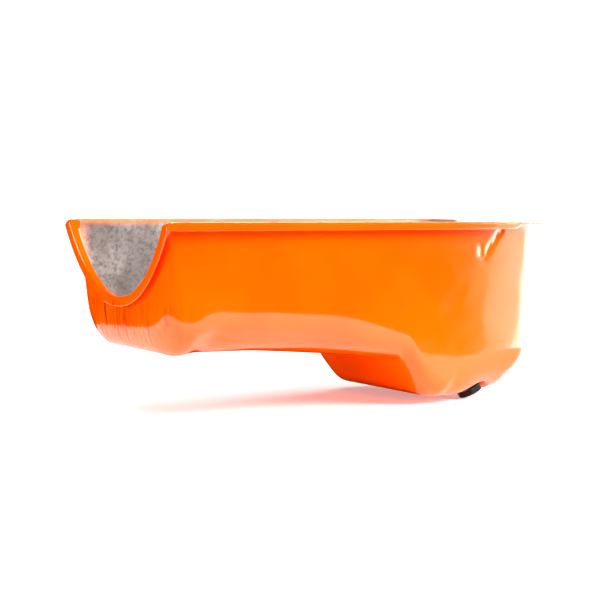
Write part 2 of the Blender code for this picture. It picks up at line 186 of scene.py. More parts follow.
# Baffle plate
BAFFLE_X = (300.0, 420.0)
BAFFLE_HALF = 66.0
BAFFLE_SHEET = 1.5
BAFFLE_EDGE = 11.0
BAFFLE_CORNER = 14.0
BAFFLE_HOLES = 5
BAFFLE_HOLE = 6.0
BAFFLE_HOLE_X = 352.0
BAFFLE_RIB_Y = 40.0
BAFFLE_RIB_X = (62.0, 70.0, 100.0, 108.0)
BAFFLE_RIB_HEIGHT = 1.6
WELD_X = (7.0, 17.0)
WELD_Y = (-44.0, -22.0, 0.0, 22.0, 44.0)
WELD_DEPTH = 0.25

# Fineness of the pan's mesh
STATION_STEP = 4.0
FINE_STEP = 2.0
WALL_STEPS = 46
FLOOR_STEPS = 118
FRONT_STEPS = 30
BEND_STEPS = 7
FLANGE_STEPS = BEND_STEPS + 2

# Material numbers of the pan's faces
STEEL = 0
ENAMEL = 1

# Floor: centre and half sizes of the ovals that bound its rings in metres, and how much it glows
FLOOR_UNDER = (0.07, 0.11, 0.16, 0.17)
FLOOR_NEAR = (0.0, 0.0, 0.60, 0.50)
FLOOR_FAR = (0.0, 0.0, 14.0, 14.0)
FLOOR_GLOW = 0.22

# Ceiling sun: strength, and spread in degrees
SUN_STRENGTH = 2.9
SUN_SPREAD = 75.0

# Camera
CAMERA_PLACE = (-659.8, -1333.2, 23.1)
CAMERA_YAW = 34.31
CAMERA_PITCH = 4.33
CAMERA_ROLL = 0.48
CAMERA_LENS = 81.38


def placed(points):
    """Millimetres in the rail frame to metres in the object frame."""
    points = np.asarray(points, float)
    return points * MM + np.array([FRONT_X, 0.0, RAIL_Z])


def smooth(value, low, high):
    """Goes from 0 at low to 1 at high without a kink."""
    t = np.clip((np.asarray(value, float) - low) / (high - low), 0.0, 1.0)
    return t * t * (3.0 - 2.0 * t)


def bump(value, low, rise, fall, high):
    """Is 1 between rise and fall and 0 outside low and high."""
    return smooth(value, low, rise) * (1.0 - smooth(value, fall, high))


def lengths_along(line):
    """Distance from the start of a line to each of its points."""
    steps = np.linalg.norm(np.diff(line, axis=0), axis=1)
    return np.concatenate([[0.0], np.cumsum(steps)])


def bent(start, corner, end, t):
    """Point at share t of the bend that rounds off a corner."""
    return (1 - t) ** 2 * start + 2 * t * (1 - t) * corner + t * t * end


def rounded_path(points, bends, steps):
    """Replaces each inner corner of a polyline by a smooth bend of steps + 1 points."""
    out = [np.asarray(points[0], float)]
    for i in range(1, len(points) - 1):
        corner = np.asarray(points[i], float)
        before = np.asarray(points[i - 1], float) - corner
        after = np.asarray(points[i + 1], float) - corner
        reach = min(bends[i], 0.48 * np.linalg.norm(before), 0.48 * np.linalg.norm(after))
        start = corner + before * reach / max(np.linalg.norm(before), 1e-9)
        end = corner + after * reach / max(np.linalg.norm(after), 1e-9)
        for t in np.linspace(0.0, 1.0, steps + 1):
            out.append(bent(start, corner, end, t))
    out.append(np.asarray(points[-1], float))
    return np.array(out)


# ---- the pressing


def edge_width(x, height):
    """Sideways size of the round between wall and floor, or between side wall and rear wall."""
    tuck = bump(x, *TUCK)
    rear = smooth(x, *REAR_WIDE_SPAN)
    front = 1.0 - smooth(x, *FRONT_SPAN)
    low = FOOT_WIDTH + FRONT_WIDER * front + TUCK_WIDER * tuck + REAR_WIDER * rear
    return CORNER_WIDTH + (low - CORNER_WIDTH) * smooth(height, 0.66, 0.98)


def edge_height(x):
    """Upright size of the round between wall and floor."""
    tuck = bump(x, *TUCK)
    sump = smooth(x, *SUMP_SPAN)
    rear = smooth(x, *REAR_TALL_SPAN)
    front = 1.0 - smooth(x, *FRONT_SPAN)
    added = FRONT_TALLER * front + TUCK_TALLER * tuck + SUMP_TALLER * sump + REAR_TALLER * rear
    return FOOT_HEIGHT + added


def rear_length(height):
    """Lengthwise size of the round between floor or side wall and rear wall."""
    return REAR_LENGTH + REAR_LONGER * smooth(height, 0.74, 0.99)


def pressed(x, y, z, depth):
    """Moves points of the plain box onto the rounded and drafted pressing."""
    x, y, z, depth = np.broadcast_arrays(np.asarray(x, float), y, z, depth)
    height = -z / depth
    wide = edge_width(x, height)
    tall = edge_height(x)
    long = rear_length(height)
    core_x = np.minimum(x, REAR_WALL_X - long)
    core_y = np.clip(y, -(WALL_HALF - wide), WALL_HALF - wide)
    core_z = np.maximum(z, -(depth - tall))
    part = np.stack([(x - core_x) / long, (y - core_y) / wide, (z - core_z) / tall], -1)
    size = np.sum(np.abs(part) ** ROUND_POWER, -1) ** (1 / ROUND_POWER)
    part = part * (np.max(np.abs(part), -1) / np.maximum(size, 1e-9))[..., None]
    new_x = core_x + part[..., 0] * long
    new_y = core_y + part[..., 1] * wide
    new_z = core_z + part[..., 2] * tall
    new_y = new_y * (1.0 + DRAFT * new_z / WALL_HALF)
    new_x = new_x + DRAFT * new_z * smooth(new_x, 400.0, 500.0)
    outer = np.maximum(0.0, (np.abs(new_y) - SWING_FROM) / (WALL_HALF - SWING_FROM)) ** 2
    swing = SUMP_SWING * outer * bump(x, *SWING_ALONG)
    return np.stack([new_x + swing * smooth(-new_z, *SWING_DOWN), new_y, new_z], -1)


def floor_stations():
    """Positions along the pan with the floor depth at each, finer towards the rear."""
    path = rounded_path([p[:2] for p in FLOOR_LINE], [p[2] for p in FLOOR_LINE], 10)
    fine_from = FLOOR_LINE[3][0] + 30.0
    rows = [path[0]]
    for start, end in zip(path[:-1], path[1:]):
        step = FINE_STEP if end[0] > fine_from else STATION_STEP
        count = max(1, int(round(np.linalg.norm(end - start) / step)))
        for k in range(1, count + 1):
            rows.append(start + (end - start) * k / count)
    return np.array(rows)


def wall_shares(depth):
    """Shares of the depth at which a wall has its rows, starting under the bend of the rim."""
    first = WALL_BEND / depth
    return first + (1.0 - first) * np.linspace(0.0, 1.0, WALL_STEPS)


def section(x, depth):
    """One section across the pan, from the plug-side rail down, across and up to the far rail."""
    down = -wall_shares(depth) * depth
    across = np.linspace(-WALL_HALF, WALL_HALF, FLOOR_STEPS)[1:-1]
    near = pressed(x, -WALL_HALF, down, depth)
    flat = pressed(x, across, -depth, depth)
    far = pressed(x, WALL_HALF, down[::-1], depth)
    return np.concatenate([near, flat, far])


def saddle_curve(shares):
    """Front half-moon line: sideways and upright position at each share of its length."""
    depth = np.linspace(0.0, 1.0, 400)
    half = SADDLE_HALF * np.maximum(1.0 - depth ** SADDLE_FALL, 0.0) ** SADDLE_ROUND
    one = np.stack([-half, -SADDLE_DEPTH * depth], 1)
    line = np.concatenate([one, (one * [-1.0, 1.0])[-2::-1]])
    length = lengths_along(line)
    at = np.asarray(shares) * length[-1]
    return np.stack([np.interp(at, length, line[:, 0]), np.interp(at, length, line[:, 1])], 1)


def saddle_points(shares):
    """Points of the half-moon line where the front wall turns into the seal's seat."""
    curve = saddle_curve(shares)
    lean = SADDLE_LEAN * -curve[:, 1] / SADDLE_DEPTH
    return np.stack([FRONT_WALL_X + lean, curve[:, 0], curve[:, 1]], 1)


def corner_blend(angle):
    """Shares of the way forward and outward on the rounded front corner."""
    forward = 1.0 - np.maximum(np.cos(angle), 0.0) ** CORNER_POWER
    outward = np.maximum(np.sin(angle), 0.0) ** CORNER_POWER
    return np.stack([forward, outward, outward], -1)


def front_surface(first, first_top):
    """The wall round the half-moon: rows from its bend to the first section, and both rail lines."""
    full = np.concatenate([[first_top[0]], first, [first_top[1]]])
    length = lengths_along(full)
    shares = length[1:-1] / length[-1]
    starts = saddle_points(shares)
    dense = np.linspace(0.0, math.pi / 2, 500)
    blend = corner_blend(dense)
    rows = np.zeros((FRONT_STEPS, len(first), 3))
    angles = np.zeros((FRONT_STEPS, len(first)))
    for j, (start, end) in enumerate(zip(starts, first)):
        path = start + (end - start) * blend
        along = lengths_along(path)
        bend = min(WALL_BEND, 0.25 * along[-1])
        targets = np.linspace(bend, along[-1], FRONT_STEPS + 1)[:-1]
        angles[:, j] = np.interp(targets, along, dense)
        rows[:, j] = start + (end - start) * corner_blend(angles[:, j])
    ends = saddle_points([0.0, 1.0])
    near_top = ends[0] + (first_top[0] - ends[0]) * corner_blend(angles[:, 0])
    far_top = ends[1] + (first_top[1] - ends[1]) * corner_blend(angles[:, -1])
    return rows, near_top, far_top, shares


def notch_edge():
    """Rim line of the rear wall across the pan, with the in-plane direction into the sheet at each point."""
    angle = np.linspace(math.pi / 2, 0.0, 40)
    half = np.stack([-NOTCH_HALF * np.sin(angle), -NOTCH_DEPTH * np.cos(angle)], 1)
    shoulder = rounded_path([(-WALL_HALF, 0.0), (-NOTCH_HALF, 0.0), tuple(half[8])],
                            [0.0, NOTCH_SHOULDER, 0.0], 10)
    left = np.concatenate([shoulder, half[9:]])
    line = np.concatenate([left, (left * [-1.0, 1.0])[-2::-1]])
    length = lengths_along(line)
    at = np.linspace(0.0, length[-1], FLOOR_STEPS)
    edge = np.stack([np.interp(at, length, line[:, 0]), np.interp(at, length, line[:, 1])], 1)
    tangent = np.gradient(edge, axis=0)
    tangent /= np.linalg.norm(tangent, axis=1)[:, None]
    return edge, np.stack([tangent[:, 1], -tangent[:, 0]], 1)


def rear_wall(edge, inward):
    """Grid of points on the rear wall, rows from the rim's bend down, one column for each floor column."""
    top = edge + inward * WALL_BEND
    floor_y = np.linspace(-WALL_HALF, WALL_HALF, FLOOR_STEPS)
    share = (wall_shares(FLOOR_DEPTH) - WALL_BEND / FLOOR_DEPTH) / (1.0 - WALL_BEND / FLOOR_DEPTH)
    share = share[:, None]
    y = top[:, 0] + (floor_y - top[:, 0]) * share
    z = top[:, 1] + (-FLOOR_DEPTH - top[:, 1]) * share
    return pressed(REAR_WALL_X, y, z, FLOOR_DEPTH)


def press_seat(points, centre, axis):
    """Flattens the sheet round the plug into a shallow round recess."""
    offset = points - centre
    along = offset @ axis
    radius = np.linalg.norm(offset - along[:, None] * axis, axis=1)
    weight = 1.0 - smooth(radius, SEAT_FLAT, SEAT_FLAT + SEAT_WALL)
    weight = np.where(np.abs(along) > 40.0, 0.0, weight)
    return points - axis * (along * weight)[:, None]


def draw_marks(x, y, z):
    """Upright wrinkles that the press leaves in the front wall under the half-moon."""
    where = bump(-z, *MARKS_DOWN) * (1.0 - smooth(np.abs(y), *MARKS_ACROSS))
    where = where * (1.0 - smooth(x, *MARKS_ALONG))
    drift = y + 0.8 * np.sin(z / 11.0)
    wave = np.sin(drift / 1.05) + 0.8 * np.sin(drift / 1.63 + 1.1) + 0.6 * np.sin(drift / 2.9 + 0.4)
    return MARKS_HEIGHT * where * wave * (0.6 + 0.4 * np.sin(drift / 9.0 + 0.7))


def draw_crease(x, y, z):
    """Hooked crease that the press leaves in the side wall beside a rail bolt near the rear."""
    line = rounded_path(CREASE_LINE, [0.0, 9.0, 0.0], 12)
    line = np.concatenate([np.linspace(a, b, 8, endpoint=False) for a, b in zip(line[:-1], line[1:])])
    away = np.full(np.shape(x), 1e9)
    for spot_x, spot_z in line:
        away = np.minimum(away, np.hypot(x - spot_x, z - spot_z))
    return -CREASE_DEPTH * np.exp(-(away / CREASE_WIDTH) ** 2) * smooth(np.abs(y), 90.0, 100.0)


def waviness(points):
    """Slight unevenness of a large pressed sheet."""
    out = np.zeros(len(points))
    for k, point in enumerate(points):
        spot = Vector(point)
        out[k] = 0.30 * noise.noise(spot / 95.0) + 0.10 * noise.noise(spot / 38.0 + Vector((7.0, 3.0, 1.0)))
    return out


def vertex_normals(points, faces):
    """Unit normals of a mesh's vertices, weighted by area."""
    normals = np.zeros_like(points)
    for size in (3, 4):
        group = np.array([f for f in faces if len(f) == size])
        if len(group) == 0:
            continue
        diagonal = points[group[:, 2]] - points[group[:, 0]]
        other = points[group[:, -1]] - points[group[:, 1]]
        facing = np.cross(diagonal, other)
        for corner in range(size):
            np.add.at(normals, group[:, corner], facing)
    return normals / np.maximum(np.linalg.norm(normals, axis=1), 1e-12)[:, None]


def rim_profile(start, corner, edge, hem):
    """Points from the wall over the bend, the flange, the lip's bend and down the lip."""
    across = edge - corner
    width = np.linalg.norm(across, axis=1)[:, None]
    across = across / np.maximum(width, 1e-9)
    down = hem - edge
    drop = np.linalg.norm(down, axis=1)[:, None]
    down = down / np.maximum(drop, 1e-9)
    first_reach = np.minimum(WALL_BEND, 0.45 * width)
    second_reach = np.minimum(LIP_BEND, 0.45 * width)
    fall_reach = np.minimum(LIP_BEND, 0.6 * drop)
    flat_start = corner + across * first_reach
    flat_end = edge - across * second_reach
    lip_start = edge + down * fall_reach
    out = []
    for t in np.linspace(0.0, 1.0, BEND_STEPS + 1)[1:]:
        out.append(bent(start, corner, flat_start, t))
    for t in (0.33, 0.67):
        out.append(flat_start + (flat_end - flat_start) * t)
    for t in np.linspace(0.0, 1.0, 8):
        out.append(bent(flat_end, edge, lip_start, t))
    for t in (0.5, 1.0):
        out.append(lip_start + (hem - lip_start) * t)
    return np.stack(out, 1)


def lip_height(x):
    """Drop of the lip under the rail, less behind its step near the rear."""
    return REAR_LIP_DROP + (LIP_DROP - REAR_LIP_DROP) * (1.0 - smooth(x, LIP_END_X - 4.0, LIP_END_X + 5.0))


def side_edge(x, side):
    """Outer rail line of a side, with the first half of the rounded rear corner."""
    shifted = x + (LENGTH - REAR_WALL_X) * smooth(x, 430.0, REAR_WALL_X)
    part = np.clip((shifted - (LENGTH - RAIL_CORNER)) / RAIL_CORNER, 0.0, 1.0)
    angle = part * math.pi / 4
    straight = LENGTH - RAIL_CORNER
    new_x = np.where(part > 0.0, straight + RAIL_CORNER * np.sin(angle), shifted)
    y = side * (HALF_WIDTH - RAIL_CORNER + RAIL_CORNER * np.cos(angle))
    return np.stack([new_x, y, np.zeros_like(new_x)], -1)


def rear_edge(y, z):
    """Outer rail line of the rear, with the second half of the rounded corners."""
    start = WALL_HALF - CORNER_REACH
    stretch = (HALF_WIDTH - RAIL_CORNER) / start
    spread = y * (1.0 + (stretch - 1.0) * smooth(np.abs(y), NOTCH_HALF, start))
    turn = np.clip((np.abs(y) - start) / CORNER_REACH, 0.0, 1.0)
    angle = math.pi / 2 - turn * math.pi / 4
    round_y = np.sign(y) * (HALF_WIDTH - RAIL_CORNER + RAIL_CORNER * np.cos(angle))
    new_y = np.where(turn > 0.0, round_y, spread)
    new_x = LENGTH - RAIL_CORNER + RAIL_CORNER * np.sin(angle)
    return np.stack([new_x, new_y, z], -1)


def side_rim(starts, tops, side):
    """Control points of the rim along one side rail."""
    edge = side_edge(tops[:, 0], side)
    hem = edge.copy()
    hem[:, 2] -= lip_height(edge[:, 0])
    return starts, tops, edge, hem


def rear_rim(starts, edge_line, inward):
    """Control points of the rim along the rear wall and its half-round."""
    corner = pressed(REAR_WALL_X, edge_line[:, 0], edge_line[:, 1], FLOOR_DEPTH)
    edge = rear_edge(edge_line[:, 0], corner[:, 2])
    notch = 1.0 - smooth(np.abs(edge_line[:, 0]), NOTCH_HALF - 4.0, NOTCH_HALF + 10.0)
    lip = REAR_LIP_DROP + (NOTCH_LIP - REAR_LIP_DROP) * notch
    hem = edge + np.stack([np.zeros(len(edge)), inward[:, 0] * lip, inward[:, 1] * lip], 1)
    return starts, corner, edge, hem


def saddle_rim(starts, shares):
    """Control points of the seal's seat and its lip round the half-moon."""
    corner = saddle_points(shares)
    tangent = np.gradient(corner[:, 1:], axis=0)
    outward = np.stack([np.zeros(len(corner)), tangent[:, 1], -tangent[:, 0]], 1)
    outward /= np.linalg.norm(outward, axis=1)[:, None]
    edge = corner - np.array([FRONT_WALL_X, 0.0, 0.0])
    return starts, corner, edge, edge + outward * SADDLE_LIP


def corner_rim(from_controls, to_controls, side, steps=9):
    """Control points that turn the rim round a front corner, between the seat's end and the side rail."""
    start, corner_a, edge_a, hem_a = from_controls
    _, corner_b, edge_b, hem_b = to_controls
    apex = saddle_points([0.0 if side < 0 else 1.0])[0]
    outer = np.array([0.0, side * HALF_WIDTH, 0.0])
    out = []
    for t in np.linspace(0.0, 1.0, steps + 2)[1:-1]:
        corner = bent(corner_a, apex, corner_b, t)
        edge = bent(edge_a, outer, edge_b, t)
        hem = edge + (1 - t) * (hem_a - edge_a) + t * (hem_b - edge_b)
        hem[1] = np.clip(hem[1], -HALF_WIDTH, HALF_WIDTH)
        out.append((start, corner, edge, hem))
    return [np.array([row[k] for row in out]) for k in range(4)]


def plug_seat():
    """Centre of the drain plug's seat on the outer face, and its outward direction, in rail millimetres."""
    centre = (np.array(PLUG_JOINT["pos_m"]) - np.array([FRONT_X, 0.0, RAIL_Z])) / MM
    axis = np.array(PLUG_JOINT["axis"], float)
    return centre, axis / np.linalg.norm(axis)


def rear_cap(index, cap, points):
    """Point numbers of the rear wall: its sides and foot are the last section's, the rest is added."""
    numbers = np.zeros((WALL_STEPS, FLOOR_STEPS), int)
    for r in range(WALL_STEPS):
        for c in range(FLOOR_STEPS):
            if c == 0:
                numbers[r, c] = index[-1, r]
            elif c == FLOOR_STEPS - 1:
                numbers[r, c] = index[-1, -1 - r]
            elif r == WALL_STEPS - 1:
                numbers[r, c] = index[-1, r + c]
            else:
                numbers[r, c] = len(points)
                points.append(cap[r, c])
    return numbers


def relieved(points, faces):
    """The plain pressing with its plug seat, draw wrinkles, crease and slight waviness."""
    centre, axis = plug_seat()
    points = press_seat(points, centre - axis * SHEET, axis)
    away = -vertex_normals(points, faces)
    x, y, z = points.T
    seat_distance = np.linalg.norm(points - centre, axis=1)
    calm = smooth(-z, WALL_BEND, 16.0) * smooth(seat_distance, 26.0, 48.0)
    shift = draw_marks(x, y, z) + draw_crease(x, y, z) * smooth(-z, WALL_BEND, 7.0)
    return points + away * (shift + waviness(points) * calm)[:, None]


def rim_strips(points, index, cap, tops, notch, shares):
    """Strips of the rim with the points they hang on, and how many of their profiles have a bare top."""
    near = side_rim(points[index[:-1, 0]], tops[0][:-1], -1.0)
    far = side_rim(points[index[:-1, -1]], tops[1][:-1], 1.0)
    rear = rear_rim(points[cap[0]], *notch)
    seat = saddle_rim(points[index[0]], shares)
    near_corner = corner_rim([c[0] for c in seat], [c[0] for c in near], -1.0)
    far_corner = corner_rim([c[-1] for c in seat], [c[0] for c in far], 1.0)
    strips = [
        (near, index[:-1, 0]),
        (rear, cap[0]),
        ([c[::-1] for c in far], index[:-1, -1][::-1]),
        ([c[::-1] for c in far_corner], np.full(len(far_corner[0]), index[0, -1])),
        ([c[::-1] for c in seat], index[0][::-1]),
        (near_corner, np.full(len(near_corner[0]), index[0, 0])),
    ]
    return strips, len(near[0]) + len(rear[0]) + len(far[0])


def pressing():
    """Inner face of the pressing: points, faces, each face's material, the open edge and the row before."""
    stations = floor_stations()
    sections = np.array([section(x, depth) for x, depth in stations])
    tops = [pressed(stations[:, 0], side * WALL_HALF, 0.0, stations[:, 1]) for side in (-1.0, 1.0)]
    fronts, near_front, far_front, shares = front_surface(sections[0], (tops[0][0], tops[1][0]))
    grid = np.concatenate([fronts, sections])
    tops = [np.concatenate([near_front, tops[0]]), np.concatenate([far_front, tops[1]])]
    notch = notch_edge()

    count_i, count_j = grid.shape[:2]
    points = list(grid.reshape(-1, 3))
    index = np.arange(count_i * count_j).reshape(count_i, count_j)
    faces = []
    for i in range(count_i - 1):
        for j in range(count_j - 1):
            faces.append((index[i, j], index[i + 1, j], index[i + 1, j + 1], index[i, j + 1]))
    cap = rear_cap(index, rear_wall(*notch), points)
    for r in range(WALL_STEPS - 1):
        for c in range(FLOOR_STEPS - 1):
            faces.append((cap[r + 1, c], cap[r, c], cap[r, c + 1], cap[r + 1, c + 1]))
    points = relieved(np.array(points), faces)

    strips, bare_count = rim_strips(points, index, cap, tops, notch, shares)
    profiles = np.concatenate([rim_profile(*controls) for controls, _ in strips])
    anchors = np.concatenate([anchor for _, anchor in strips])
    count, deep = profiles.shape[:2]
    rim_index = len(points) + np.arange(count * deep).reshape(count, deep)
    rim_index = np.concatenate([anchors[:, None], rim_index], 1)
    points = np.concatenate([points, profiles.reshape(-1, 3)])
    paint = [STEEL] * len(faces)
    for a in range(count):
        b = (a + 1) % count
        for k in range(deep):
            paint.append(STEEL if a < bare_count and k < FLANGE_STEPS else ENAMEL)
            if rim_index[a, k] == rim_index[b, k]:
                faces.append((rim_index[a, k], rim_index[a, k + 1], rim_index[b, k + 1]))
            else:
                faces.append((rim_index[a, k], rim_index[a, k + 1], rim_index[b, k + 1], rim_index[b, k]))
    return points, faces, paint, rim_index[:, -1], rim_index[:, -2]


def thickened(points, faces, paint, open_edge, before_edge):
    """Closed sheet from its inner face, with an outer face, a rounded cut edge and material numbers."""
    away = -vertex_normals(points, faces)
    count = len(points)
    all_points = [points, points + away * SHEET]
    all_faces = list(faces)
    paint = list(paint)
    all_faces += [tuple(i + count for i in reversed(face)) for face in faces]
    paint += [ENAMEL] * len(faces)
    out = points[open_edge] - points[before_edge]
    normal = away[open_edge]
    out -= normal * np.sum(out * normal, axis=1)[:, None]
    out /= np.linalg.norm(out, axis=1)[:, None]
    middle = points[open_edge] + normal * SHEET / 2
    rings = [open_edge]
    for angle in (45.0, 90.0, 135.0):
        turn = math.radians(angle)
        ring = middle + (out * math.sin(turn) - normal * math.cos(turn)) * SHEET / 2
        rings.append(sum(len(p) for p in all_points) + np.arange(len(ring)))
        all_points.append(ring)
    rings.append(open_edge + count)
    for low, high in zip(rings[:-1], rings[1:]):
        for a in range(len(low)):
            b = (a + 1) % len(low)
            all_faces.append((low[a], high[a], high[b], low[b]))
            paint.append(ENAMEL)
    return np.concatenate(all_points), all_faces, paint


def new_object(name, data):
    """A new object in the scene."""
    thing = bpy.data.objects.new(name, data)
    bpy.context.scene.collection.objects.link(thing)
    return thing


def mesh_piece(name, points, faces, materials, paint=None):
    """A new object from points in metres, merged where points coincide, with smooth shading."""
    mesh = bpy.data.meshes.new(name)
    mesh.from_pydata([tuple(p) for p in points], [], [tuple(int(i) for i in f) for f in faces])
    if paint is not None:
        mesh.polygons.foreach_set("material_index", np.array(paint, np.int32))
    work = bmesh.new()
    work.from_mesh(mesh)
    bmesh.ops.remove_doubles(work, verts=work.verts, dist=1e-6)
    bmesh.ops.dissolve_degenerate(work, edges=work.edges, dist=1e-6)
    work.to_mesh(mesh)
    work.free()
    for material in materials:
        mesh.materials.append(material)
    mesh.shade_smooth()
    return new_object(name, mesh)


def cutter(name, solids):
    """Cylinders to cut with, as one mesh: each has a matrix, a radius and a half length in metres."""
    work = bmesh.new()
    for matrix, radius, half in solids:
        bmesh.ops.create_cone(work, cap_ends=True, segments=40, radius1=radius, radius2=radius,
                              depth=2 * half, matrix=matrix)
    mesh = bpy.data.meshes.new(name)
    work.to_mesh(mesh)
    work.free()
    return new_object(name, mesh)


def cut(piece, tool):
    """Cuts the tool out of the piece, keeps the result as the piece's own mesh and removes the tool."""
    step = piece.modifiers.new("Cut", "BOOLEAN")
    step.operation = "DIFFERENCE"
    step.solver = "EXACT"
    step.object = tool
    settle(piece)
    bpy.data.objects.remove(tool, do_unlink=True)


def settle(piece, sharp_angle=50.0):
    """Turns a piece's modifiers into its mesh and marks its sharp edges."""
    evaluated = piece.evaluated_get(bpy.context.evaluated_depsgraph_get())
    mesh = bpy.data.meshes.new_from_object(evaluated)
    piece.modifiers.clear()
    piece.data = mesh
    mesh.shade_smooth()
    mesh.set_sharp_from_angle(angle=math.radians(sharp_angle))


def seat_matrix():
    """Frame of the plug seat: origin on the outer face, Z outward."""
    centre = Vector(PLUG_JOINT["pos_m"])
    turn = Vector(PLUG_JOINT["axis"]).to_track_quat("Z", "Y").to_matrix().to_4x4()
    return Matrix.Translation(centre) @ turn


def make_pan(enamel, steel):
    """The pan: its sheet, with the bolt holes and the drain hole cut through."""
    points, faces, paint, open_edge, before_edge = pressing()
    points, faces, paint = thickened(points, faces, paint, open_edge, before_edge)
    pan = mesh_piece("pan_shell", placed(points), faces, [steel, enamel], paint)
    holes = []
    row = [(FIRST_HOLE + HOLE_PITCH * k, SMALL_HOLE) for k in range(SIDE_HOLE_COUNT)]
    row += [(x, LARGE_HOLE) for x in CORNER_HOLES]
    for side in (-1.0, 1.0):
        for x, radius in row:
            spot = Matrix.Translation(Vector(placed((x, side * HOLE_LINE, 0.0))))
            holes.append((spot, radius * MM, 6 * MM))
    holes.append((seat_matrix(), DRAIN_HOLE * MM, 8 * MM))
    cut(pan, cutter("pan_holes", holes))
    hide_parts("pan_body")
    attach(pan, "pan")


# ---- turned pieces


def ring_faces(count, rows, closed_start=True, closed_end=True, loop=False):
    """Faces between rows of points round an axis, with fans at the ends or joined into a loop."""
    faces = []
    last = rows if loop else rows - 1
    for r in range(last):
        for c in range(count):
            n = (c + 1) % count
            up = (r + 1) % rows
            faces.append((r * count + c, r * count + n, up * count + n, up * count + c))
    if not loop and closed_start:
        faces.append(tuple(range(count - 1, -1, -1)))
    if not loop and closed_end:
        faces.append(tuple((rows - 1) * count + c for c in range(count)))
    return faces


def hex_outline(flats, corner_radius, flat_steps=5, arc_steps=5):
    """Angles and radii of a hexagon with rounded corners."""
    reach = flats / math.sqrt(3)
    reach = reach - corner_radius / math.cos(math.pi / 6)

    def corner_point(base, turn):
        centre = np.array([math.cos(base), math.sin(base)]) * reach
        return centre + corner_radius * np.array([math.cos(turn), math.sin(turn)])

    points = []
    for k in range(6):
        base = k * math.pi / 3
        for t in np.linspace(-1.0, 1.0, arc_steps):
            points.append(corner_point(base, base + t * math.pi / 6))
        start = points[-1]
        next_base = base + math.pi / 3
        end = corner_point(next_base, next_base - math.pi / 6)
        for t in np.linspace(0.0, 1.0, flat_steps + 2)[1:-1]:
            points.append(start + (end - start) * t)
    points = np.array(points)
    angle = np.unwrap(np.arctan2(points[:, 1], points[:, 0]))
    return angle, np.linalg.norm(points, axis=1)


def turned_points(rows, angle):
    """Points in metres of rows of radius and height round the seat's axis."""
    points = []
    for radius, height in rows:
        level = np.broadcast_to(height, angle.shape)
        points += list(np.stack([radius * np.cos(angle), radius * np.sin(angle), level], 1))
    return np.array(points) * MM


def thread_height(angle, z, pitch, depth):
    """Height of a screw thread's flank over its root at an angle and a height."""
    phase = (z / pitch - angle / (2 * math.pi)) % 1.0
    return depth * np.clip(1.25 * (1.0 - np.abs(2.0 * phase - 1.0)) - 0.12, 0.0, 1.0)


def make_plug(black):
    """Hex plug with a chamfered head, a washer face and a real helical thread."""
    base = GASKET_THICK + 2 * GAP
    top = base + HEAD_HEIGHT
    angle, hexagon = hex_outline(HEX_FLATS, 0.7)
    circle = np.ones_like(angle)
    crown = HEX_FLATS / 2 - 1.0
    chamfer = top - 0.15 - (hexagon - crown) * math.tan(math.radians(30.0))
    rows = []

    def ring(radius, height):
        rows.append((radius * circle, height * circle))

    tip = base - SHANK_LENGTH
    ring(3.0, tip)
    ring(SHANK_RADIUS - 1.3, tip)
    ring(SHANK_RADIUS - 1.0, tip + 0.2)
    pitch = THREAD_PITCH
    for z in np.arange(tip + 0.4, base - 1.8, pitch / 9):
        fade = smooth(z, tip + 0.4, tip + 2.2) * (1.0 - smooth(z, base - 3.4, base - 2.0))
        flank = thread_height(angle, z, pitch, 0.78)
        rows.append((SHANK_RADIUS - 0.82 + flank * fade, z * circle))
    for wider, rise in ((-0.8, -1.2), (-0.7, -0.5), (0.1, -0.02), (0.6, 0.0)):
        ring(SHANK_RADIUS + wider, base + rise)
    for inset, rise in ((0.5, 0.0), (0.15, 0.12), (0.0, 0.45), (0.0, 0.9), (0.2, 1.2), (0.7, 1.38)):
        ring(FLANGE_RADIUS - inset, base + rise)
    rows.append((hexagon + 0.5, (base + 1.6) * circle))
    rows.append((hexagon + 0.12, (base + 1.85) * circle))
    rows.append((hexagon, (base + 2.3) * circle))
    rows.append((hexagon, (base + 2.3) + (chamfer - base - 2.3) * 0.55))
    rows.append((hexagon, chamfer - 0.45))
    rows.append((hexagon - 0.06, chamfer - 0.12))
    rows.append((hexagon - 0.3, chamfer + 0.12))
    dish = ((crown + 0.35, 0.3), (crown, 0.1), (crown - 0.5, 0.0), (8.6, 0.0), (8.2, 0.1), (7.9, 0.5))
    for radius, sink in dish + ((7.4, 0.65), (2.0, 0.65)):
        ring(radius, top - sink)
    faces = ring_faces(len(angle), len(rows))
    plug = mesh_piece("drain_plug_hex", turned_points(rows, angle), faces, [black])
    plug.data.transform(seat_matrix())
    plug.data.set_sharp_from_angle(angle=math.radians(32.0))
    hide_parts("drain_plug")
    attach(plug, "plug")


def lathe(name, profile, steps, material):
    """Turns a closed profile of radius and height pairs round the seat's axis."""
    angle = np.linspace(0.0, 2 * math.pi, steps, endpoint=False)
    faces = ring_faces(steps, len(profile), loop=True)
    piece = mesh_piece(name, turned_points(profile, angle), faces, [material])
    piece.data.transform(seat_matrix())
    return piece


def rounded_box_profile(inner, outer, low, high, radius, steps=4):
    """Closed profile of a ring with rounded edges, counter-clockwise with the radius to the right."""
    centres = [(outer - radius, low + radius, -90.0), (outer - radius, high - radius, 0.0),
               (inner + radius, high - radius, 90.0), (inner + radius, low + radius, 180.0)]
    out = []
    for x, z, start in centres:
        for k in range(steps + 1):
            turn = math.radians(start + 90.0 * k / steps)
            out.append((x + radius * math.cos(turn), z + radius * math.sin(turn)))
    return out


def make_gasket(fibre):
    """Sealing ring that travels with the plug without turning."""
    profile = rounded_box_profile(SHANK_RADIUS + 0.5, GASKET_OUTER, GAP, GAP + GASKET_THICK, 0.5)
    gasket = lathe("plug_gasket_ring", profile, 72, fibre)
    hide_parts("plug_gasket")
    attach(gasket, "plug_carrier")


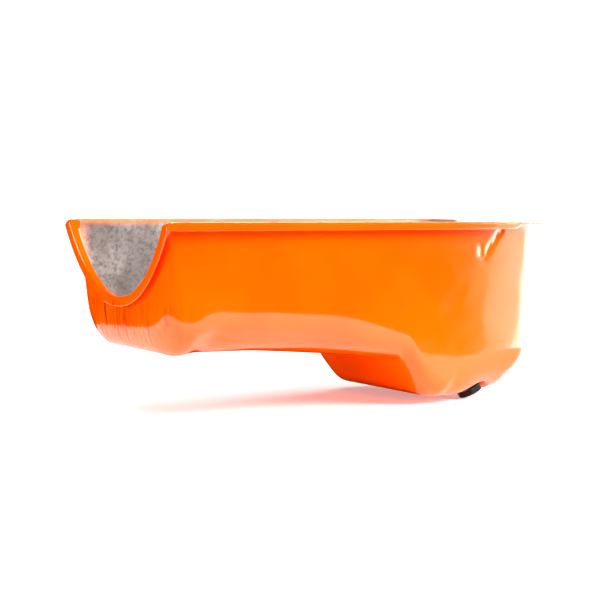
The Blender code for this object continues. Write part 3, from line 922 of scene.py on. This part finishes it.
def make_nut(steel):
    """Round weld nut with a threaded bore and a rounded, uneven weld bead at its foot."""
    top = -SHEET - GAP
    foot = top - NUT_THICK
    steps = 64
    angle = np.linspace(0.0, 2 * math.pi, steps, endpoint=False)
    circle = np.ones_like(angle)
    bead = 0.35 * np.sin(angle * 19.0) + 0.2 * np.sin(angle * 31.0 + 1.0)
    rows = [(SHANK_RADIUS + 1.1, top, 0.0), (NUT_RADIUS - 0.4, top, 0.0),
            (NUT_RADIUS - 0.05, top - 0.25, 0.2), (NUT_RADIUS - 0.15, top - 1.0, 0.6),
            (NUT_RADIUS - 0.8, top - 2.0, 0.5), (NUT_RADIUS - 1.8, top - 2.7, 0.2),
            (NUT_RADIUS - 2.4, top - 3.1, 0.0), (NUT_RADIUS - 2.6, top - 3.6, 0.0),
            (NUT_RADIUS - 2.6, foot + 1.6, 0.0), (NUT_RADIUS - 2.8, foot + 0.9, 0.0),
            (NUT_RADIUS - 3.6, foot + 0.25, 0.0), (NUT_RADIUS - 4.4, foot, 0.0),
            (SHANK_RADIUS + 1.3, foot, 0.0)]
    made = []
    for radius, height, share in rows:
        made.append(((radius - 0.3 * share) * circle + bead * share, height * circle))
    bore = SHANK_RADIUS + 0.25
    for z in np.arange(foot + 0.5, top - 0.5, THREAD_PITCH / 7):
        fade = smooth(z, foot + 0.5, foot + 1.6) * (1.0 - smooth(z, top - 1.8, top - 0.6))
        flank = thread_height(angle, z, THREAD_PITCH, 0.7)
        made.append((bore + 0.75 - (0.75 - flank) * fade, z * circle))
    faces = [tuple(reversed(f)) for f in ring_faces(steps, len(made), loop=True)]
    nut = mesh_piece("weld_nut", turned_points(made, angle), faces, [steel])
    nut.data.transform(seat_matrix())
    nut.data.set_sharp_from_angle(angle=math.radians(40.0))
    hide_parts("drain_boss")
    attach(nut, "pan")


def make_baffle(steel):
    """Slosh baffle: a plate with pressed ribs, drain holes, weld dimples and a rounded upturned edge."""
    rise = (FLOOR_LINE[2][1] - FLOOR_LINE[1][1]) / (FLOOR_LINE[2][0] - FLOOR_LINE[1][0])
    slope = math.atan(rise)
    length = (BAFFLE_X[1] - BAFFLE_X[0]) / math.cos(slope)
    bend = rounded_path([(0.0, 0.0), (length, 0.0), (length + BAFFLE_EDGE * 0.5, BAFFLE_EDGE * 0.87)],
                        [0.0, 5.0, 0.0], 8)
    along = lengths_along(bend)
    at = np.linspace(0.0, along[-1], 88)
    x = np.interp(at, along, bend[:, 0])
    lift = np.interp(at, along, bend[:, 1])
    share = np.linspace(-1.0, 1.0, 89)
    half = BAFFLE_HALF - (BAFFLE_CORNER - np.minimum(x, BAFFLE_CORNER))
    y = share[None, :] * half[:, None]
    plan_x = np.broadcast_to(x[:, None], y.shape)
    ribs = np.zeros_like(y)
    for side in (-1.0, 1.0):
        away = np.abs(y - side * BAFFLE_RIB_Y)
        ribs += BAFFLE_RIB_HEIGHT * (1.0 - smooth(away, 1.5, 5.0)) * bump(plan_x, *BAFFLE_RIB_X)
    for spot_x in WELD_X:
        for spot_y in WELD_Y:
            away = np.hypot(plan_x - spot_x, y - spot_y)
            ribs -= WELD_DEPTH * (1.0 - smooth(away, 1.2, 2.6))
    points = np.stack([plan_x, y, lift[:, None] + ribs], -1).reshape(-1, 3)
    rows, columns = y.shape
    faces = []
    for i in range(rows - 1):
        for j in range(columns - 1):
            a = i * columns + j
            faces.append((a, a + columns, a + columns + 1, a + 1))
    baffle = mesh_piece("slosh_baffle_plate", points * MM, faces, [steel])
    depth = FLOOR_LINE[1][1] + rise * (BAFFLE_X[0] - FLOOR_LINE[1][0])
    tilt = Matrix.Rotation(slope, 4, "Y")
    spot = Matrix.Translation(Vector(placed((BAFFLE_X[0], 0.0, GAP - depth)))) @ tilt
    baffle.data.transform(spot)
    skin = baffle.modifiers.new("Sheet", "SOLIDIFY")
    skin.thickness = BAFFLE_SHEET * MM
    skin.offset = 1.0
    edge = baffle.modifiers.new("Edge", "BEVEL")
    edge.width = 0.3 * MM
    edge.segments = 2
    edge.limit_method = "ANGLE"
    edge.angle_limit = math.radians(60.0)
    settle(baffle)
    holes = []
    spacing = 2 * BAFFLE_HALF / (BAFFLE_HOLES + 0.6)
    for k in range(BAFFLE_HOLES):
        y_spot = (k - (BAFFLE_HOLES - 1) / 2) * spacing
        z_spot = -depth - rise * (BAFFLE_HOLE_X - BAFFLE_X[0])
        spot = Matrix.Translation(Vector(placed((BAFFLE_HOLE_X, y_spot, z_spot))))
        holes.append((spot, BAFFLE_HOLE * MM, 10 * MM))
    cut(baffle, cutter("baffle_holes", holes))
    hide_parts("slosh_baffle")
    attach(baffle, "pan")


# ---- materials


def fill(inputs, values):
    """Sets constants on sockets by name."""
    for key, value in values.items():
        inputs[key.replace("_", " ")].default_value = value


class Recipe:
    """A node material under construction."""

    def __init__(self, name):
        self.material = bpy.data.materials.new(name)
        self.material.use_nodes = True
        self.nodes = self.material.node_tree.nodes
        self.links = self.material.node_tree.links
        self.shader = self.nodes["Principled BSDF"]
        self.place = self.nodes.new("ShaderNodeTexCoord").outputs["Object"]

    def set(self, **values):
        """Sets constants on the shader's own sockets."""
        fill(self.shader.inputs, values)

    def plug(self, socket, name):
        """Links a socket to one of the shader's."""
        self.links.new(socket, self.shader.inputs[name])

    def node(self, kind, source, **values):
        """A new node fed by a socket, with constants on its other sockets."""
        node = self.nodes.new("ShaderNode" + kind)
        fill(node.inputs, values)
        name = {"TexNoise": "Vector", "MapRange": "Value", "Bump": "Height"}.get(kind, 0)
        self.links.new(source, node.inputs[name])
        return node

    def stretched(self, scale):
        """The piece's own coordinates, scaled along each axis."""
        return self.node("Mapping", self.place, Scale=scale).outputs["Vector"]

    def noise(self, scale, detail=3.0, rough=0.5, where=None):
        where = where or self.place
        return self.node("TexNoise", where, Scale=scale, Detail=detail, Roughness=rough).outputs["Fac"]

    def axis(self, name):
        """One of the piece's own coordinates."""
        return self.node("SeparateXYZ", self.place).outputs[name]

    def span(self, value, low, high, to_low=0.0, to_high=1.0):
        """Takes low to to_low and high to to_high, smoothly."""
        node = self.node("MapRange", value, From_Min=low, From_Max=high, To_Min=to_low, To_Max=to_high)
        node.interpolation_type = "SMOOTHSTEP"
        return node.outputs["Result"]

    def math(self, kind, a, b):
        """Joins two values, each a number or a socket."""
        node = self.nodes.new("ShaderNodeMath")
        node.operation = kind
        node.use_clamp = kind in ("ADD", "MULTIPLY", "SUBTRACT")
        for socket, value in zip(node.inputs, (a, b)):
            if isinstance(value, float):
                socket.default_value = value
            else:
                self.links.new(value, socket)
        return node.outputs[0]

    def mixed(self, node, kind, share, values):
        """Mixes two values of a kind of socket, each a constant or a socket."""
        self.links.new(share, node.inputs["Factor"])
        for name, value in zip("AB", values):
            socket = next(s for s in node.inputs if s.name == name and s.type == kind)
            if isinstance(value, (float, tuple)):
                socket.default_value = value
            else:
                self.links.new(value, socket)
        return next(s for s in node.outputs if s.type == kind)

    def colours(self, share, first, second):
        node = self.nodes.new("ShaderNodeMix")
        node.data_type = "RGBA"
        values = [(*v, 1.0) if isinstance(v, tuple) else v for v in (first, second)]
        return self.mixed(node, "RGBA", share, values)

    def numbers(self, share, first, second):
        return self.mixed(self.nodes.new("ShaderNodeMix"), "VALUE", share, (first, second))

    def relief(self, height, strength, distance):
        node = self.node("Bump", height, Strength=strength, Distance=distance)
        self.plug(node.outputs["Normal"], "Normal")


def orange_enamel():
    """Glossy sprayed enamel: slightly cloudy, with fine orange peel and painted shade of the draw wrinkles as
    dark streaks under the half-moon.
    """
    recipe = Recipe("Orange enamel")
    cloud = recipe.span(recipe.noise(9.0, 2.0), 0.35, 0.65)
    base = recipe.colours(cloud, (0.92, 0.100, 0.0), (0.95, 0.115, 0.0))
    # Painted shade: dark red streaks under the half-moon stand in for the shade between the draw wrinkles
    # there.
    front = recipe.span(recipe.axis("X"), *(FRONT_X + MM * x for x in STREAK_ALONG), 1.0, 0.0)
    above = recipe.span(recipe.axis("Z"), *(RAIL_Z - MM * depth for depth in STREAK_FOOT))
    below = recipe.span(recipe.axis("Z"), *(RAIL_Z - MM * depth for depth in STREAK_TOP), 1.0, 0.0)
    streak = recipe.span(recipe.noise(150.0, 3.0, 0.6, recipe.stretched((1.0, 1.0, 0.05))), 0.50, 0.64)
    painted_wrinkle_shade = recipe.math("MULTIPLY", front, streak)
    painted_wrinkle_shade = recipe.math("MULTIPLY", painted_wrinkle_shade, recipe.math("MULTIPLY", above, below))
    recipe.plug(recipe.colours(recipe.math("MULTIPLY", painted_wrinkle_shade, 0.8), base, (0.34, 0.030, 0.004)), "Base Color")
    recipe.plug(recipe.span(recipe.noise(60.0, 3.0), 0.3, 0.7, 0.10, 0.16), "Roughness")
    recipe.set(Metallic=0.0, Coat_Weight=0.6, Coat_Roughness=0.04, Specular_IOR_Level=0.3)
    recipe.relief(recipe.noise(650.0, 2.0), 0.05, 0.0002)
    return recipe.material


def bare_steel_inside():
    """Bare drawn steel: warm grey mottling, speckle and draw streaks, with overspray near the rim."""
    recipe = Recipe("Bare pan steel")
    blotch = recipe.span(recipe.noise(22.0, 5.0, 0.6), 0.38, 0.62)
    fine = recipe.span(recipe.noise(230.0, 5.0, 0.7), 0.44, 0.62)
    streak = recipe.span(recipe.noise(90.0, 2.0, 0.5, recipe.stretched((1.0, 1.0, 0.12))), 0.35, 0.65)
    base = recipe.colours(blotch, (0.30, 0.255, 0.235), (0.50, 0.445, 0.42))
    base = recipe.colours(recipe.math("MULTIPLY", fine, 0.60), base, (0.12, 0.100, 0.095))
    base = recipe.colours(recipe.math("MULTIPLY", streak, 0.25), base, (0.40, 0.375, 0.36))
    near_front = recipe.span(recipe.axis("X"), FRONT_X + 0.010, FRONT_X + 0.030, 1.0, 0.0)
    near_rail = recipe.span(recipe.axis("Z"), RAIL_Z - 0.009, RAIL_Z - 0.002)
    dust = recipe.span(recipe.noise(260.0, 5.0, 0.7), 0.30, 0.70)
    spray = recipe.math("MAXIMUM", recipe.math("MULTIPLY", near_front, 0.8), near_rail)
    spray = recipe.math("MULTIPLY", spray, recipe.math("ADD", recipe.math("MULTIPLY", dust, 0.6), 0.45))
    recipe.plug(recipe.colours(spray, base, (0.72, 0.20, 0.04)), "Base Color")
    recipe.plug(recipe.numbers(spray, 0.40, 0.0), "Metallic")
    rough = recipe.span(recipe.noise(45.0, 4.0, 0.6), 0.3, 0.7, 0.34, 0.55)
    recipe.plug(recipe.numbers(spray, rough, 0.45), "Roughness")
    recipe.relief(recipe.math("ADD", fine, streak), 0.15, 0.0003)
    return recipe.material


def bright_steel():
    """Zinc-grey steel of the small welded parts, with rolling grain and darker heat tint."""
    recipe = Recipe("Bare part steel")
    grain = recipe.span(recipe.noise(400.0, 3.0, 0.6, recipe.stretched((0.1, 1.0, 1.0))), 0.3, 0.7)
    tint = recipe.span(recipe.noise(40.0, 3.0), 0.45, 0.7)
    base = recipe.colours(grain, (0.42, 0.41, 0.40), (0.60, 0.59, 0.58))
    recipe.plug(recipe.colours(recipe.math("MULTIPLY", tint, 0.5), base, (0.30, 0.25, 0.21)), "Base Color")
    recipe.plug(recipe.span(recipe.noise(120.0, 3.0), 0.3, 0.7, 0.28, 0.48), "Roughness")
    recipe.set(Metallic=0.9)
    recipe.relief(grain, 0.12, 0.0002)
    return recipe.material


def black_oxide():
    """Blackened steel of the plug, oily, with faint brown wear in scattered patches."""
    recipe = Recipe("Black oxide")
    wear = recipe.span(recipe.noise(170.0, 4.0, 0.65), 0.58, 0.74)
    tone = recipe.span(recipe.noise(60.0, 3.0), 0.35, 0.65)
    base = recipe.colours(tone, (0.004, 0.004, 0.005), (0.012, 0.011, 0.011))
    recipe.plug(recipe.colours(recipe.math("MULTIPLY", wear, 0.5), base, (0.06, 0.048, 0.042)), "Base Color")
    recipe.plug(recipe.span(recipe.noise(220.0, 4.0), 0.3, 0.7, 0.26, 0.46), "Roughness")
    recipe.set(Metallic=0.65, Specular_IOR_Level=0.5)
    recipe.relief(recipe.noise(900.0, 3.0), 0.10, 0.0001)
    return recipe.material


def gasket_fibre():
    """Pressed fibre of the gasket, dark grey with short light fibres."""
    recipe = Recipe("Gasket fibre")
    strand = recipe.span(recipe.noise(900.0, 4.0, 0.7, recipe.stretched((0.3, 1.0, 1.0))), 0.5, 0.75)
    recipe.plug(recipe.colours(strand, (0.035, 0.035, 0.038), (0.12, 0.115, 0.11)), "Base Color")
    recipe.plug(recipe.span(recipe.noise(300.0, 3.0), 0.3, 0.7, 0.65, 0.85), "Roughness")
    recipe.relief(strand, 0.3, 0.0002)
    return recipe.material


# ---- stage


def ring_mesh(name, inner, outer, material):
    """A flat ring between two ovals given by centre and half sizes, or a disc without an inner one."""
    count = 96
    turns = [2 * math.pi * k / count for k in range(count)]
    points = []
    for x, y, half_x, half_y in [outer] + ([inner] if inner else []):
        points += [(x + math.cos(turn) * half_x, y + math.sin(turn) * half_y, 0.0) for turn in turns]
    faces = [tuple(range(count))]
    if inner:
        faces = [(k, (k + 1) % count, count + (k + 1) % count, count + k) for k in range(count)]
    mesh = bpy.data.meshes.new(name)
    mesh.from_pydata(points, [], faces)
    mesh.materials.append(material)
    return mesh


def make_floor():
    """A pale floor in three level rings: only the middle one is mirrored, the outer one lights nothing."""
    recipe = Recipe("Floor")
    recipe.set(Base_Color=(0.93, 0.93, 0.93, 1.0), Roughness=0.9, Specular_IOR_Level=0.1)
    recipe.set(Emission_Color=(1.0, 1.0, 1.0, 1.0), Emission_Strength=FLOOR_GLOW)
    rings = (("floor_under", None, FLOOR_UNDER, False), ("floor_near", FLOOR_UNDER, FLOOR_NEAR, True),
             ("floor_far", FLOOR_NEAR, FLOOR_FAR, False))
    for name, inner, outer, mirrored in rings:
        floor = new_object(name, ring_mesh(name, inner, outer, recipe.material))
        floor.location = (0.0, 0.0, CAD_LOW[2] - 0.0005)
        floor.visible_glossy = mirrored
        floor.visible_diffuse = name != "floor_far"


def area_light(name, place, aim, size, power, diffuse=True, glossy=True):
    """A rectangular lamp that lights the pan, shows up in its gloss, or both."""
    data = bpy.data.lights.new(name, "AREA")
    data.shape = "RECTANGLE"
    data.size, data.size_y = size
    data.energy = power
    lamp = new_object(name, data)
    lamp.location = place
    lamp.rotation_mode = "QUATERNION"
    lamp.rotation_quaternion = (Vector(aim) - Vector(place)).to_track_quat("-Z", "Y")
    lamp.visible_camera = False
    lamp.visible_diffuse = diffuse
    lamp.visible_glossy = glossy


def make_world():
    """A plain white surround that is seen but neither lights the pan nor shows up in its gloss."""
    world = bpy.data.worlds.new("Studio")
    bpy.context.scene.world = world
    world.use_nodes = True
    background = world.node_tree.nodes["Background"]
    background.inputs["Color"].default_value = (1.0, 1.0, 1.0, 1.0)
    background.inputs["Strength"].default_value = 1.0
    world.cycles_visibility.diffuse = False
    world.cycles_visibility.glossy = False


def make_camera():
    """The camera of the main view."""
    yaw, pitch, roll = (math.radians(v) for v in (CAMERA_YAW, CAMERA_PITCH, CAMERA_ROLL))
    up = Vector((0.0, 0.0, 1.0))
    ahead = Vector((math.sin(yaw), math.cos(yaw), 0.0))
    right = Vector((math.cos(yaw), -math.sin(yaw), 0.0))
    look = ahead * math.cos(pitch) - up * math.sin(pitch)
    above = up * math.cos(pitch) + ahead * math.sin(pitch)
    side = right * math.cos(roll) + above * math.sin(roll)
    top = above * math.cos(roll) - right * math.sin(roll)
    data = bpy.data.cameras.new("Camera")
    data.sensor_width = 36.0
    data.lens = CAMERA_LENS
    camera = new_object("Camera", data)
    turn = Matrix((side, top, -look)).transposed().to_4x4()
    camera.matrix_world = Matrix.Translation(Vector(placed(CAMERA_PLACE))) @ turn
    bpy.context.scene.camera = camera


def make_lights():
    """Soft light from above, the right and the left, and cards that only the gloss sees."""
    data = bpy.data.lights.new("Ceiling", "SUN")
    data.energy = SUN_STRENGTH
    data.angle = math.radians(SUN_SPREAD)
    ceiling = new_object("Ceiling", data)
    ceiling.visible_glossy = False
    area_light("Key", (1.2, -1.6, 1.2), (0.0, 0.0, 0.1), (1.2, 1.2), 88.0, glossy=False)
    area_light("Left fill", (-1.4, -0.3, 0.25), (-0.2, 0.0, 0.1), (0.8, 0.8), 16.0, glossy=False)
    area_light("Right card", (1.21, -0.128, 0.2), (0.0, -0.128, 0.2), (2.055, 1.4), 110.0, diffuse=False)
    area_light("Right strip", (1.21, -1.21, 0.2), (0.0, -1.21, 0.2), (0.11, 1.4), 1.6, diffuse=False)
    area_light("Left card", (-1.3, 0.1, 0.9), (-0.2, 0.0, 0.2), (0.5, 0.5), 12.0, diffuse=False)
    area_light("Back card", (1.9, 2.7, 0.62), (0.0, 0.0, 0.2), (2.6, 0.7), 26.0, diffuse=False)


def main():
    """Makes the pieces, the stage, the lights and the view."""
    enamel = orange_enamel()
    make_pan(enamel, bare_steel_inside())
    make_plug(black_oxide())
    make_gasket(gasket_fibre())
    part_steel = bright_steel()
    make_nut(part_steel)
    make_baffle(part_steel)
    make_floor()
    make_world()
    make_lights()
    make_camera()
    bpy.context.scene.view_settings.view_transform = "Standard"
    bpy.context.scene.view_settings.look = "Medium High Contrast"


main()
